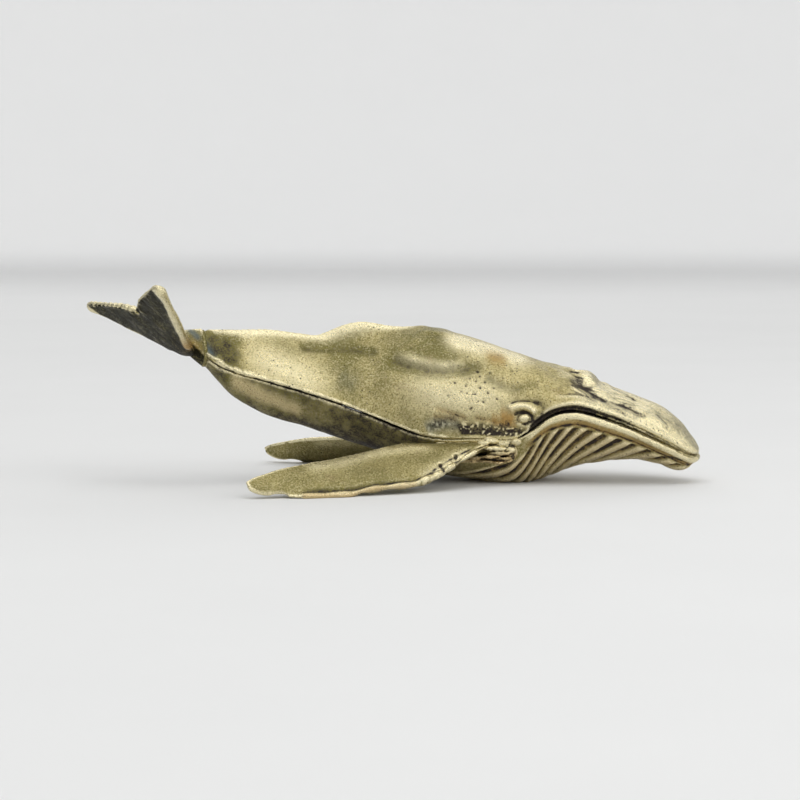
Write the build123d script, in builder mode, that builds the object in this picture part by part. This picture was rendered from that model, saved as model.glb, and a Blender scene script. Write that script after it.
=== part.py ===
"""Humpback whale figurine: hollow brass castings, brazed together, in millimetres.

The whale faces +X and lies on its throat and on the edges of its two pectoral fins.
The origin is the middle of the flat on the throat, so the ground is the plane Z = 0.
"""

import os
from math import cos, pi, radians, sin

from build123d import *

os.makedirs("parts", exist_ok=True)

# Body: overall sizes
body_length = 75.0
body_height = 22.0
body_half_width = 8.0
snout_x = 26.5

# Body: how the figure is posed, curved in plan and rolled from end to end
bend_radius = 150.0
head_roll_degrees = 14.0
tail_roll_degrees = 8.0

# Shell: metal left around the cavity, and the seam between the two castings
side_wall = 1.5
ridge_wall = 2.3
floor_wall = 1.8
seam_gap = 0.15
seam_step = 0.25

# Pins that locate the two castings on each other
pin_diameter = 1.4
pin_length = 3.6
pin_clearance = 0.05

# Dorsal fin, blowhole mound, rostrum ridge and eyes, all cast in the back
dorsal_fin_height = 1.7
dorsal_fin_half_base = 1.3
dorsal_fin_root = 1.2
mound_radius = 2.0
blowhole_length = 1.7
blowhole_width = 0.6
rostrum_ridge_radius = 0.6
eye_bead_radius = 0.6
eye_socket_radius = 1.0
eye_socket_lift = 0.45

# Pectoral fins
fin_sweep = 37.5
fin_reach = 14.5
fin_root_chord = 12.0
fin_root_thickness = 2.4
fin_thickness = 1.5
fin_edge_thickness = 0.4
fin_seat_depth = 0.3
fin_seat_margin = 0.4
fin_knob_radius = 0.75
fin_rim_radius = 0.5
fin_rim_sink = 0.4

# Tail flukes
fluke_half_span = 14.6
fluke_chord = 13.1
fluke_thickness = 1.7
fluke_bead_radius = 0.66
fluke_rim_radius = 0.42
fluke_rim_sink = 0.2
fluke_yaw_degrees = 10.7
fluke_pitch_degrees = 39.6
fluke_roll_degrees = 0.6

# Brazed joints: tenons of the pectoral fins and spigot of the flukes
braze_thickness = 0.3
braze_overhang = 0.25
joint_clearance = 0.05
tenon_length = 8.0
tenon_thickness = 1.1
tenon_depth = 2.0
tenon_end_wall = 0.6
spigot_diameter = 1.6
spigot_length = 3.0
spigot_root_length = 0.8

# How far a cut runs past the surface that it goes through
overrun = 1.0

# Stations along the body, from the tail stock (0) to the snout (1)
station_shares = [0.06, 0.11, 0.17, 0.24, 0.31, 0.38, 0.45, 0.52, 0.59, 0.66,
                  0.72, 0.77, 0.82, 0.87, 0.92, 0.955, 0.98, 0.993, 1.0]
# Heights of the back, the seam and the belly above the ground, of the body height
back_shares = [0.989, 0.993, 0.993, 0.966, 0.932, 0.955, 0.985, 0.972, 0.902, 0.825,
               0.750, 0.689, 0.615, 0.560, 0.472, 0.395, 0.305, 0.241, 0.205]
seam_shares = [0.815, 0.712, 0.650, 0.580, 0.504, 0.416, 0.332, 0.300, 0.309, 0.330,
               0.480, 0.520, 0.485, 0.428, 0.350, 0.285, 0.226, 0.195, 0.182]
belly_shares = [0.755, 0.595, 0.466, 0.368, 0.286, 0.205, 0.123, 0.045, 0.012, -0.009,
                0.045, 0.109, 0.141, 0.155, 0.134, 0.090, 0.095, 0.140, 0.160]
# Half width at the seam, of the greatest half width
width_shares = [0.25, 0.34, 0.45, 0.60, 0.74, 0.875, 0.975, 1.0, 1.0, 0.975,
                0.925, 0.875, 0.81, 0.725, 0.61, 0.49, 0.34, 0.20, 0.09]
# How far the lower casting stands out at the seam, of the seam step: in at the tail, out at the lip
step_shares = [-1.0, -1.0, -1.0, -1.0, -1.0, -1.0, -1.0, -0.5, 0.0, 0.6,
               1.3, 1.6, 1.6, 1.5, 1.4, 1.2, 0.8, 0.2, 0.0]
# Shape of the flank above the seam: swelling, rise of the swelling, width and drop of the crown
bulge_shares = [-0.10, -0.18, -0.22, -0.20, -0.15, -0.05, 0.0, 0.05, 0.06, 0.05,
                0.02, 0.0, 0.0, 0.0, 0.0, 0.0, 0.0, 0.0, 0.0]
rise_shares = [0.35, 0.35, 0.35, 0.35, 0.38, 0.42, 0.48, 0.5, 0.5, 0.5,
               0.5, 0.5, 0.5, 0.5, 0.5, 0.5, 0.5, 0.5, 0.5]
crown_shares = [0.25, 0.22, 0.20, 0.22, 0.28, 0.40, 0.52, 0.62, 0.66, 0.68,
                0.68, 0.68, 0.72, 0.78, 0.82, 0.82, 0.80, 0.75, 0.70]
drop_shares = [0.12, 0.15, 0.18, 0.18, 0.15, 0.08, 0.04, 0.03, 0.03, 0.03,
               0.03, 0.03, 0.05, 0.08, 0.08, 0.05, 0.03, 0.03, 0.03]
# Shape below the seam: how far the side falls before it turns in, and the width of the keel
fall_shares = [0.5, 0.5, 0.5, 0.5, 0.5, 0.52, 0.56, 0.62, 0.66, 0.66,
               0.62, 0.58, 0.54, 0.5, 0.5, 0.5, 0.5, 0.5, 0.5]
keel_shares = [0.4, 0.4, 0.4, 0.42, 0.47, 0.54, 0.62, 0.71, 0.77, 0.77,
               0.73, 0.70, 0.68, 0.66, 0.65, 0.65, 0.6, 0.6, 0.6]

side_taper_share = 0.97
keel_rise_share = 0.03
# Shape of the dorsal fin's section and of the blades of the pectoral fins and flukes
fin_waist_share = 0.75
fin_crown_share = 0.25
fin_shoulder_share = 0.95
blade_height_share = 0.62
blade_middle_share = 0.45
blade_nose_share = 0.02
fluke_edge_share = 0.55

# Places along the body, of its length
neutral_share = 0.573
cavity_ends_share = (0.17, 0.87)
tail_joint_share = station_shares[0]
pin_places_share = (0.14, 0.915)
eye_station_share = 0.668
eye_rise_share = 0.15
blowhole_share = 0.768
fin_front_share = 0.648
fluke_root_share = 0.034

# Dorsal fin: places along the body, and rise above the back of the fin's height
dorsal_station_shares = [0.272, 0.303, 0.328, 0.356, 0.393, 0.432, 0.493]
dorsal_rise_shares = [-0.1, 0.5, 0.88, 1.0, 0.64, 0.22, -0.3]
dorsal_base_shares = [0.4, 0.6, 0.75, 0.85, 1.0, 1.1, 1.2]

# Blowhole mound: places along the body, height of its top of the body height, radius of its own
mound_station_shares = [0.735, 0.760, 0.781, 0.795, 0.805, 0.812]
mound_top_shares = [0.723, 0.730, 0.720, 0.702, 0.660, 0.632]
mound_radius_shares = [0.65, 0.93, 1.0, 0.86, 0.5, 0.3]

# Rostrum ridge: places along the body and radius of its own
ridge_station_shares = [0.805, 0.84, 0.88, 0.92, 0.95]
ridge_radius_shares = [1.0, 0.95, 0.85, 0.7, 0.5]
ridge_sink_share = 0.3

# Pectoral fin, root to tip: run back of the sweep, run out of the reach, height of the root height
lead_back_shares = [0.0, 0.085, 0.18, 0.285, 0.387, 0.504, 0.63, 0.763, 0.88, 0.97]
lead_out_shares = [-0.02, 0.07, 0.228, 0.414, 0.56, 0.69, 0.807, 0.903, 0.966, 1.0]
lead_height_shares = [1.0, 1.02, 0.80, 0.42, 0.22, 0.16, 0.05, 0.04, 0.09, 0.25]
trail_back_shares = [fin_root_chord / fin_sweep, 0.363, 0.421, 0.49, 0.571, 0.656,
                     0.747, 0.837, 0.923, 0.984]
trail_out_shares = [-0.02, 0.04, 0.117, 0.214, 0.331, 0.455, 0.586, 0.724, 0.869, 0.972]
trail_height_shares = [1.0, 1.24, 1.28, 1.20, 1.09, 0.97, 0.90, 0.81, 0.66, 0.47]
fin_thickness_shares = [fin_root_thickness / fin_thickness, 1.25, 1.1, 1.05, 1.0, 0.95,
                        0.9, 0.8, 0.65, 0.45]
# Leading edge of the fin: places of the dips between its knobs, and how much thinner it gets
fin_dip_shares = [0.11, 0.205, 0.295, 0.385, 0.48, 0.585, 0.70, 0.84]
fin_rim_taper_share = 0.35

# Fluke, middle to tip: place of the half span, leading and trailing edge of the chord, thickness
fluke_span_shares = [0.0, 0.12, 0.3, 0.5, 0.7, 0.88, 0.97, 1.0]
fluke_lead_shares = [0.0, 0.03, 0.22, 0.42, 0.61, 0.80, 0.91, 0.965]
fluke_trail_shares = [0.725, 0.80, 0.875, 0.92, 0.965, 1.0, 1.0, 0.99]
fluke_thickness_shares = [1.0, 0.95, 0.8, 0.68, 0.55, 0.45, 0.38, 0.3]
# Trailing edge of the fluke: places of the dips between its beads, and how much thinner it gets
fluke_dip_shares = [0.05, 0.15, 0.25, 0.35, 0.45, 0.55, 0.65, 0.75, 0.85, 0.95]
fluke_rim_taper_share = 0.5

# Stub of the tail stock cast with the flukes: places, and sizes of the stock where it ends
stub_station_shares = [0.03, 0.01]
stub_width_shares = [0.19, 0.11]
stub_back_shares = [0.986, 0.980]
stub_belly_shares = [0.83, 0.91]
fluke_root_height_share = 0.827
spigot_height_share = 0.845

tail_x = snout_x - body_length
neutral_x = tail_x + neutral_share * body_length


def between(table, share, places=station_shares):
    """Value of a table at any place between its own."""
    pairs = list(zip(places, table))
    for (low, first), (high, second) in zip(pairs, pairs[1:]):
        if share <= high:
            break
    return first + (second - first) * (share - low) / (high - low)


def station_plane(share, height=None):
    """Plane across the body: its X axis points left, its Y axis up, its Z axis to the snout."""
    run = tail_x + share * body_length - neutral_x
    turn = run / bend_radius
    if run > 0:
        roll = radians(head_roll_degrees) * run / (snout_x - neutral_x)
    else:
        roll = radians(tail_roll_degrees) * run / (neutral_x - tail_x)
    centre = body_height * (between(back_shares, share) + between(belly_shares, share)) / 2
    side = Vector(sin(turn) * cos(roll), cos(turn) * cos(roll), sin(roll))
    ahead = Vector(cos(turn), -sin(turn), 0)
    origin = Vector(neutral_x + bend_radius * sin(turn), bend_radius * (cos(turn) - 1), centre)
    plane = Plane(origin=origin, x_dir=side, z_dir=ahead)
    if height is None:
        return plane
    return plane.shift_origin(plane.from_local_coords(Vector(0, height - centre, 0)))


def upright_plane(share, height):
    """Plane along the body: its X axis points to the snout, its Z axis up."""
    across = station_plane(share, height)
    return Plane(origin=across.origin, x_dir=across.z_dir, z_dir=across.y_dir)


def section_sizes(share):
    """Half width, and heights of the back, the seam and the belly from the section's centre."""
    back = body_height * between(back_shares, share)
    belly = body_height * between(belly_shares, share)
    seam = body_height * between(seam_shares, share)
    centre = (back + belly) / 2
    return body_half_width * between(width_shares, share), back - centre, seam - centre, belly - centre


def flank_curve(share, half_width, back, seam):
    """Control points of one flank, from the seam up to the ridge of the back."""
    height = back - seam
    swelling = half_width * (1 + between(bulge_shares, share))
    crown = half_width * between(crown_shares, share)
    return [(half_width, seam), (swelling, seam + height * between(rise_shares, share)),
            (crown, back - height * between(drop_shares, share)), (0, back)]


def belly_curve(share, half_width, seam, belly):
    """Control points of one side of the belly, from the seam down to the keel."""
    height = seam - belly
    side = half_width * side_taper_share
    keel = half_width * between(keel_shares, share)
    return [(half_width, seam), (side, seam - height * between(fall_shares, share)),
            (keel, belly + height * keel_rise_share), (0, belly)]


def mirrored(points):
    return [(-across, along) for across, along in points]


def half_section(plane, curve):
    """Sketch of a section that a straight line across the body closes."""
    with BuildSketch(plane) as section:
        with BuildLine():
            Bezier(*curve)
            Bezier(*reversed(mirrored(curve)))
            Line(mirrored(curve)[0], curve[0])
        make_face()
    return section.sketch


def whole_section(plane, flank, belly):
    """Sketch of a full section, back and belly in one outline."""
    with BuildSketch(plane) as section:
        with BuildLine():
            Bezier(*flank)
            Bezier(*reversed(mirrored(flank)))
            Bezier(*mirrored(belly))
            Bezier(*reversed(belly))
        make_face()
    return section.sketch


def blade_section(plane, chord, thickness, edge_thickness):
    """Sketch of a blade's section: its leading edge at the origin, its chord along the X axis."""
    height = thickness * blade_height_share
    middle = chord * blade_middle_share
    nose = chord * blade_nose_share
    upper = [(0, 0), (nose, height), (middle, height), (chord, edge_thickness / 2)]
    with BuildSketch(plane) as section:
        with BuildLine():
            Bezier(*upper)
            Line((chord, edge_thickness / 2), (chord, -edge_thickness / 2))
            Bezier(*reversed([(along, -rise) for along, rise in upper]))
        make_face()
    return section.sketch


def beaded_run(dips, rim_radius, bead_radius, taper_share):
    """Places and radii along a beaded edge, with one bead between each two dips."""
    run = []
    for here, ahead in zip(dips, dips[1:]):
        for quarter in range(4):
            place = here + (ahead - here) * quarter / 4
            swell = (1 - cos(pi * quarter / 2)) / 2
            run.append((place, rim_radius + (bead_radius - rim_radius) * swell))
    run.append((dips[-1], rim_radius))
    return [(place, radius * (1 - taper_share * place)) for place, radius in run]


def rod(centres, radii, up):
    """Rod of a changing radius through the centres."""
    with BuildPart() as bar:
        for index, radius in enumerate(radii):
            behind = centres[max(index - 1, 0)]
            ahead = centres[min(index + 1, len(centres) - 1)]
            with BuildSketch(Plane(origin=centres[index], x_dir=up, z_dir=ahead - behind)):
                Circle(radius)
        loft()
    return bar.part


# Cavity that the two body castings share
with BuildPart() as cavity:
    for share in station_shares:
        if cavity_ends_share[0] <= share <= cavity_ends_share[1]:
            half_width, back, seam, belly = section_sizes(share)
            inner_width = half_width - side_wall
            roof = flank_curve(share, inner_width, back - ridge_wall, seam)
            floor = belly_curve(share, inner_width, seam, belly + floor_wall)
            add(whole_section(station_plane(share), roof, floor))
    loft()

# Pins between the castings, and the holes that they sit in
pin_planes = []
for share in pin_places_share:
    pin_planes.append(upright_plane(share, body_height * between(seam_shares, share) - seam_gap / 2))

with BuildPart() as tail_pin:
    with BuildSketch(pin_planes[0]):
        Circle(pin_diameter / 2)
    extrude(amount=pin_length / 2, both=True)

with BuildPart() as snout_pin:
    with BuildSketch(pin_planes[1]):
        Circle(pin_diameter / 2)
    extrude(amount=pin_length / 2, both=True)

with BuildPart() as pin_holes:
    for plane in pin_planes:
        with BuildSketch(plane):
            Circle(pin_diameter / 2 + pin_clearance)
    extrude(amount=pin_length / 2 + pin_clearance, both=True)

# Socket of the flukes' spigot, in the end of the tail stock
spigot_plane = station_plane(tail_joint_share, body_height * spigot_height_share)

with BuildPart() as spigot_socket:
    with BuildSketch(spigot_plane.offset(-overrun)):
        Circle(spigot_diameter / 2 + joint_clearance)
    extrude(amount=overrun + spigot_length + joint_clearance)

# Upper casting: back, rostrum, dorsal fin, blowhole and eyes
with BuildPart() as dorsal_fin:
    for share, rise, base in zip(dorsal_station_shares, dorsal_rise_shares, dorsal_base_shares):
        top = dorsal_fin_root + dorsal_fin_height * rise
        half_base = dorsal_fin_half_base * base
        side = [(half_base, 0), (half_base * fin_waist_share, top / 2),
                (half_base * fin_crown_share, top * fin_shoulder_share), (0, top)]
        back = body_height * between(back_shares, share)
        add(half_section(station_plane(share, back - dorsal_fin_root), side))
    loft()

with BuildPart() as blowhole_mound:
    for share, top, size in zip(mound_station_shares, mound_top_shares, mound_radius_shares):
        radius = mound_radius * size
        with BuildSketch(station_plane(share, body_height * top - radius)):
            Circle(radius)
    loft()

with BuildPart() as rostrum_ridge:
    for share, size in zip(ridge_station_shares, ridge_radius_shares):
        radius = rostrum_ridge_radius * size
        back = body_height * between(back_shares, share)
        with BuildSketch(station_plane(share, back - radius * ridge_sink_share)):
            Circle(radius)
    loft()

with BuildPart() as back_casting:
    for share in station_shares:
        half_width, back, seam, belly = section_sizes(share)
        add(half_section(station_plane(share), flank_curve(share, half_width, back, seam)))
    loft()
    add(dorsal_fin.part)
    add(blowhole_mound.part)
    add(rostrum_ridge.part)
    add(cavity.part, mode=Mode.SUBTRACT)
    add(pin_holes.part, mode=Mode.SUBTRACT)
    add(spigot_socket.part, mode=Mode.SUBTRACT)
    mound_top = body_height * between(mound_top_shares, blowhole_share, mound_station_shares)
    with BuildSketch(upright_plane(blowhole_share, mound_top + overrun)):
        SlotOverall(blowhole_length, blowhole_width)
    extrude(amount=-(ridge_wall + 2 * overrun), mode=Mode.SUBTRACT)
    half_width, back, seam, belly = section_sizes(eye_station_share)
    with BuildLine(mode=Mode.PRIVATE) as flank_line:
        Bezier(*flank_curve(eye_station_share, half_width, back, seam))
    eye_spot = flank_line.line @ eye_rise_share
    for side in (-1, 1):
        eye_centre = Vector(side * eye_spot.X, eye_spot.Y, 0)
        socket_centre = eye_centre + Vector(side * eye_socket_lift, 0, 0)
        with Locations(station_plane(eye_station_share).from_local_coords(socket_centre)):
            Sphere(eye_socket_radius, mode=Mode.SUBTRACT)
        with Locations(station_plane(eye_station_share).from_local_coords(eye_centre)):
            Sphere(eye_bead_radius)

# Places of the pectoral fins' joints
fin_front_x = tail_x + fin_front_share * body_length
fin_seat_y = body_half_width - fin_seat_depth
fin_shoulder_y = fin_seat_y + braze_thickness
fin_root_share = fin_front_share - fin_root_chord / 2 / body_length
fin_seat_length = fin_root_chord + 2 * braze_overhang
fin_seat_height = fin_root_thickness + 2 * braze_overhang
seam_at_fin = body_height * between(seam_shares, fin_root_share) - seam_gap
fin_root_height = seam_at_fin - fin_seat_margin - fin_seat_height / 2
fin_root_x = fin_front_x - fin_root_chord / 2


def right_side_plane(out):
    """Plane beside the body at the fin's root: its X axis points back, its Z axis out to the right."""
    return Plane(origin=(fin_root_x, -out, fin_root_height), x_dir=(-1, 0, 0), z_dir=(0, -1, 0))


with BuildPart() as fin_pad:
    with BuildSketch(right_side_plane(fin_seat_y)):
        SlotOverall(fin_seat_length, fin_seat_height)
    extrude(amount=-(tenon_depth + tenon_end_wall))
    mirror(about=Plane.XZ)

with BuildPart() as fin_spot_face:
    with BuildSketch(right_side_plane(fin_seat_y)):
        SlotOverall(fin_seat_length, fin_seat_height)
    extrude(amount=overrun)
    mirror(about=Plane.XZ)

with BuildPart() as fin_sockets:
    with BuildSketch(right_side_plane(fin_seat_y + overrun)):
        Rectangle(tenon_length + 2 * joint_clearance, tenon_thickness + 2 * joint_clearance)
    extrude(amount=-(overrun + tenon_depth + joint_clearance))
    mirror(about=Plane.XZ)

# Lower casting: jaw, throat and belly, with the seats of the fins and the flat that it rests on
with BuildPart() as belly_block:
    for share in station_shares:
        half_width, back, seam, belly = section_sizes(share)
        lip_width = half_width + seam_step * between(step_shares, share)
        underside = belly_curve(share, lip_width, seam - seam_gap, belly)
        add(half_section(station_plane(share), underside))
    loft()

with BuildPart() as fin_seats:
    add(fin_pad.part)
    add(belly_block.part, mode=Mode.INTERSECT)

with BuildPart() as belly_casting:
    add(belly_block.part)
    add(cavity.part, mode=Mode.SUBTRACT)
    add(fin_seats.part)
    add(fin_spot_face.part, mode=Mode.SUBTRACT)
    add(fin_sockets.part, mode=Mode.SUBTRACT)
    add(pin_holes.part, mode=Mode.SUBTRACT)
    add(spigot_socket.part, mode=Mode.SUBTRACT)
    split(bisect_by=Plane.XY, keep=Keep.TOP)


def fin_point(back_share, out_share, height_share):
    return Vector(fin_front_x - fin_sweep * back_share, -(fin_shoulder_y + fin_reach * out_share),
                  fin_root_height * height_share)


lead_points = [fin_point(*row) for row in zip(lead_back_shares, lead_out_shares, lead_height_shares)]
trail_points = [fin_point(*row) for row in zip(trail_back_shares, trail_out_shares, trail_height_shares)]
middle_points = [(lead + trail) / 2 for lead, trail in zip(lead_points, trail_points)]


def fin_plane(index):
    """Plane across the fin: its X axis runs from the leading edge to the trailing edge."""
    chord = (trail_points[index] - lead_points[index]).normalized()
    if index == 0:
        span = Vector(0, -1, 0)
    else:
        ahead = middle_points[min(index + 1, len(middle_points) - 1)]
        span = ahead - middle_points[index - 1]
    return Plane(origin=lead_points[index], x_dir=chord, z_dir=span - chord * span.dot(chord))


# Knobbed rim along the leading edge of the right fin
inboard = (trail_points[-1] - lead_points[0]).cross(Vector(0, 0, -1)).normalized()
knob_centres = []
knob_radii = []
for share, radius in beaded_run(fin_dip_shares, fin_rim_radius, fin_knob_radius, fin_rim_taper_share):
    edge = fin_point(share, between(lead_out_shares, share, lead_back_shares),
                     between(lead_height_shares, share, lead_back_shares))
    knob_centres.append(edge + inboard * fin_rim_sink)
    knob_radii.append(radius)
fin_rim = rod(knob_centres, knob_radii, Vector(0, 0, 1))

# Pectoral fins: a swept blade with a rim of knobs along its leading edge and a tenon at its root
with BuildPart() as right_pectoral_fin:
    for index, size in enumerate(fin_thickness_shares):
        chord_length = (trail_points[index] - lead_points[index]).length
        add(blade_section(fin_plane(index), chord_length, fin_thickness * size, fin_edge_thickness))
    loft()
    split(bisect_by=right_side_plane(fin_shoulder_y), keep=Keep.TOP)
    add(fin_rim)
    with BuildSketch(right_side_plane(fin_shoulder_y)):
        Rectangle(tenon_length, tenon_thickness)
    extrude(amount=-(braze_thickness + tenon_depth))
    split(bisect_by=Plane.XY, keep=Keep.TOP)

with BuildPart() as left_pectoral_fin:
    add(mirror(right_pectoral_fin.part, about=Plane.XZ, mode=Mode.PRIVATE))

with BuildPart() as right_fin_braze:
    with BuildSketch(right_side_plane(fin_seat_y)):
        SlotOverall(fin_seat_length, fin_seat_height)
        Rectangle(tenon_length + 2 * joint_clearance, tenon_thickness + 2 * joint_clearance,
                  mode=Mode.SUBTRACT)
    extrude(amount=braze_thickness)

with BuildPart() as left_fin_braze:
    add(mirror(right_fin_braze.part, about=Plane.XZ, mode=Mode.PRIVATE))

# Flukes: their own directions, turned from those of the tail stock
tail_plane = station_plane(fluke_root_share, body_height * fluke_root_height_share)
yaw = radians(fluke_yaw_degrees)
pitch = radians(fluke_pitch_degrees)
fluke_roll = radians(fluke_roll_degrees)
aft_level = tail_plane.x_dir * -sin(yaw) - tail_plane.z_dir * cos(yaw)
fluke_left = tail_plane.x_dir * cos(yaw) - tail_plane.z_dir * sin(yaw)
fluke_aft = aft_level * cos(pitch) + tail_plane.y_dir * sin(pitch)
fluke_up = fluke_left.cross(fluke_aft)
fluke_left = fluke_left * cos(fluke_roll) + fluke_up * sin(fluke_roll)


def fluke_point(span_share, chord_share):
    return (tail_plane.origin + fluke_left * (fluke_half_span * span_share)
            + fluke_aft * (fluke_chord * chord_share))


fluke_places = [-share for share in reversed(fluke_span_shares[1:])] + fluke_span_shares

# Tail flukes: both lobes in one blade, a beaded rim along their trailing edges, and the end of the stock
with BuildPart() as fluke_blade:
    for place in fluke_places:
        lead = between(fluke_lead_shares, abs(place), fluke_span_shares)
        trail = between(fluke_trail_shares, abs(place), fluke_span_shares)
        thickness = fluke_thickness * between(fluke_thickness_shares, abs(place), fluke_span_shares)
        plane = Plane(origin=fluke_point(place, lead), x_dir=fluke_aft, z_dir=fluke_left)
        edge = thickness * fluke_edge_share
        add(blade_section(plane, fluke_chord * (trail - lead), thickness, edge))
    loft()

with BuildPart() as tail_stub:
    half_width, back, seam, belly = section_sizes(tail_joint_share)
    stub_plane = station_plane(tail_joint_share).offset(-braze_thickness)
    flank = flank_curve(tail_joint_share, half_width, back, seam)
    add(whole_section(stub_plane, flank, belly_curve(tail_joint_share, half_width, seam, belly)))
    for share, width, back, belly in zip(stub_station_shares, stub_width_shares,
                                         stub_back_shares, stub_belly_shares):
        half_width = body_half_width * width
        middle = body_height * (back + belly) / 2
        half_height = body_height * (back - belly) / 2
        flank = flank_curve(share, half_width, half_height, 0)
        underside = belly_curve(share, half_width, 0, -half_height)
        add(whole_section(station_plane(share, middle), flank, underside))
    loft()


def fluke_rim(side):
    """Beaded rim along the trailing edge of the right (-1) or left (1) lobe."""
    centres = []
    radii = []
    run = beaded_run(fluke_dip_shares, fluke_rim_radius, fluke_bead_radius, fluke_rim_taper_share)
    for share, radius in run:
        trail = between(fluke_trail_shares, share, fluke_span_shares)
        centres.append(fluke_point(side * share, trail) - fluke_aft * fluke_rim_sink)
        radii.append(radius)
    return rod(centres, radii, fluke_up)


right_fluke_rim = fluke_rim(-1)
left_fluke_rim = fluke_rim(1)

with BuildPart() as tail_flukes:
    add(fluke_blade.part)
    add(tail_stub.part)
    add(right_fluke_rim)
    add(left_fluke_rim)
    with BuildSketch(spigot_plane.offset(-(braze_thickness + spigot_root_length))):
        Circle(spigot_diameter / 2)
    extrude(amount=spigot_root_length + braze_thickness + spigot_length)

with BuildPart() as fluke_braze:
    half_width, back, seam, belly = section_sizes(tail_joint_share)
    wide = half_width + braze_overhang
    flank = flank_curve(tail_joint_share, wide, back + braze_overhang, seam)
    underside = belly_curve(tail_joint_share, wide, seam, belly - braze_overhang)
    for depth in (braze_thickness, 0):
        add(whole_section(station_plane(tail_joint_share).offset(-depth), flank, underside))
    loft()
    add(spigot_socket.part, mode=Mode.SUBTRACT)

back_casting.part.label = "back_casting"
belly_casting.part.label = "belly_casting"
right_pectoral_fin.part.label = "right_pectoral_fin"
left_pectoral_fin.part.label = "left_pectoral_fin"
tail_flukes.part.label = "tail_flukes"
tail_pin.part.label = "tail_pin"
snout_pin.part.label = "snout_pin"
right_fin_braze.part.label = "right_fin_braze"
left_fin_braze.part.label = "left_fin_braze"
fluke_braze.part.label = "fluke_braze"

export_step(back_casting.part, "parts/back_casting.step")
export_step(belly_casting.part, "parts/belly_casting.step")
export_step(right_pectoral_fin.part, "parts/right_pectoral_fin.step")
export_step(left_pectoral_fin.part, "parts/left_pectoral_fin.step")
export_step(tail_flukes.part, "parts/tail_flukes.step")
export_step(tail_pin.part, "parts/tail_pin.step")
export_step(snout_pin.part, "parts/snout_pin.step")
export_step(right_fin_braze.part, "parts/right_fin_braze.step")
export_step(left_fin_braze.part, "parts/left_fin_braze.step")
export_step(fluke_braze.part, "parts/fluke_braze.step")
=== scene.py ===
"""Looks of the brass humpback whale: sculpted castings, patinated brass, floor, light and camera.

Sizes inside this script are in millimetres, in the part's own frame, until they reach Blender.
"""

from math import cos, pi, radians, sin

import bmesh
import bpy
import numpy as np
from mathutils import Matrix, Vector, noise
from mathutils.bvhtree import BVHTree


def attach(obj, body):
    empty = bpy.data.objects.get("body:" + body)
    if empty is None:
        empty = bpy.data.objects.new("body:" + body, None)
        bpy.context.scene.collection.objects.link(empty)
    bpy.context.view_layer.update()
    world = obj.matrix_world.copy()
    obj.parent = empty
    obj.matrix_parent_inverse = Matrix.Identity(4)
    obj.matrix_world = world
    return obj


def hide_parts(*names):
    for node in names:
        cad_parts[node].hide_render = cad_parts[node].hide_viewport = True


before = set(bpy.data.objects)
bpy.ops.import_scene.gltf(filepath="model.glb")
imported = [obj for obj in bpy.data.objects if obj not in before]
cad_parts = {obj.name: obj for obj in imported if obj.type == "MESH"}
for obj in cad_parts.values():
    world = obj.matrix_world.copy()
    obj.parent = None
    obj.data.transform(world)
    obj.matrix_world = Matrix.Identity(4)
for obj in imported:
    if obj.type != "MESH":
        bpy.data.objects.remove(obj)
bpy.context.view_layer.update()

MM = 0.001


def add_object(name, data):
    made = bpy.data.objects.new(name, data)
    bpy.context.scene.collection.objects.link(made)
    return made


# Camera: the photograph's view, 800 pixels wide
IMAGE_SIDE = 800
PIXELS_PER_MM = 7
CAMERA_DISTANCE = 350
CAMERA_RISE = radians(5)
CAMERA_TARGET = np.array([-16.07, 0, 11.4])
SENSOR = 36

# Body: the curve and roll that the part is posed in
BODY_LENGTH = 75
BODY_HEIGHT = 22
BODY_HALF_WIDTH = 8
SNOUT_X = 26.5
TAIL_X = SNOUT_X - BODY_LENGTH
NEUTRAL_X = TAIL_X + 0.573 * BODY_LENGTH
BEND_RADIUS = 150
HEAD_ROLL = radians(14)
TAIL_ROLL = radians(8)

# Stations along the body: middle height and seam height of the body height, width of the half width
STATION_SHARES = [0.06, 0.11, 0.17, 0.24, 0.31, 0.38, 0.45, 0.52, 0.59, 0.66,
                  0.72, 0.77, 0.82, 0.87, 0.92, 0.955, 0.98, 0.993, 1]
MIDDLE_SHARES = [0.872, 0.794, 0.73, 0.667, 0.609, 0.58, 0.554, 0.509, 0.457, 0.408,
                 0.398, 0.399, 0.378, 0.358, 0.303, 0.243, 0.2, 0.191, 0.183]
SEAM_SHARES = [0.815, 0.712, 0.65, 0.58, 0.504, 0.416, 0.332, 0.3, 0.309, 0.33,
               0.48, 0.52, 0.485, 0.428, 0.35, 0.285, 0.226, 0.195, 0.182]
WIDTH_SHARES = [0.25, 0.34, 0.45, 0.6, 0.74, 0.875, 0.975, 1, 1, 0.975,
                0.925, 0.875, 0.81, 0.725, 0.61, 0.49, 0.34, 0.2, 0.09]


def at_station(table, shares):
    """Value of a table at any place along the body, on a smooth curve through its own."""
    places = np.array(STATION_SHARES)
    values = np.array(table)
    slopes = np.gradient(values, places)
    index = np.clip(np.searchsorted(places, shares) - 1, 0, len(places) - 2)
    gap = places[index + 1] - places[index]
    t = np.clip((shares - places[index]) / gap, 0, 1)
    return (values[index] * (1 + 2 * t) * (1 - t) ** 2 + values[index + 1] * (3 - 2 * t) * t ** 2
            + gap * t * (1 - t) * (slopes[index] * (1 - t) - slopes[index + 1] * t))


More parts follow.
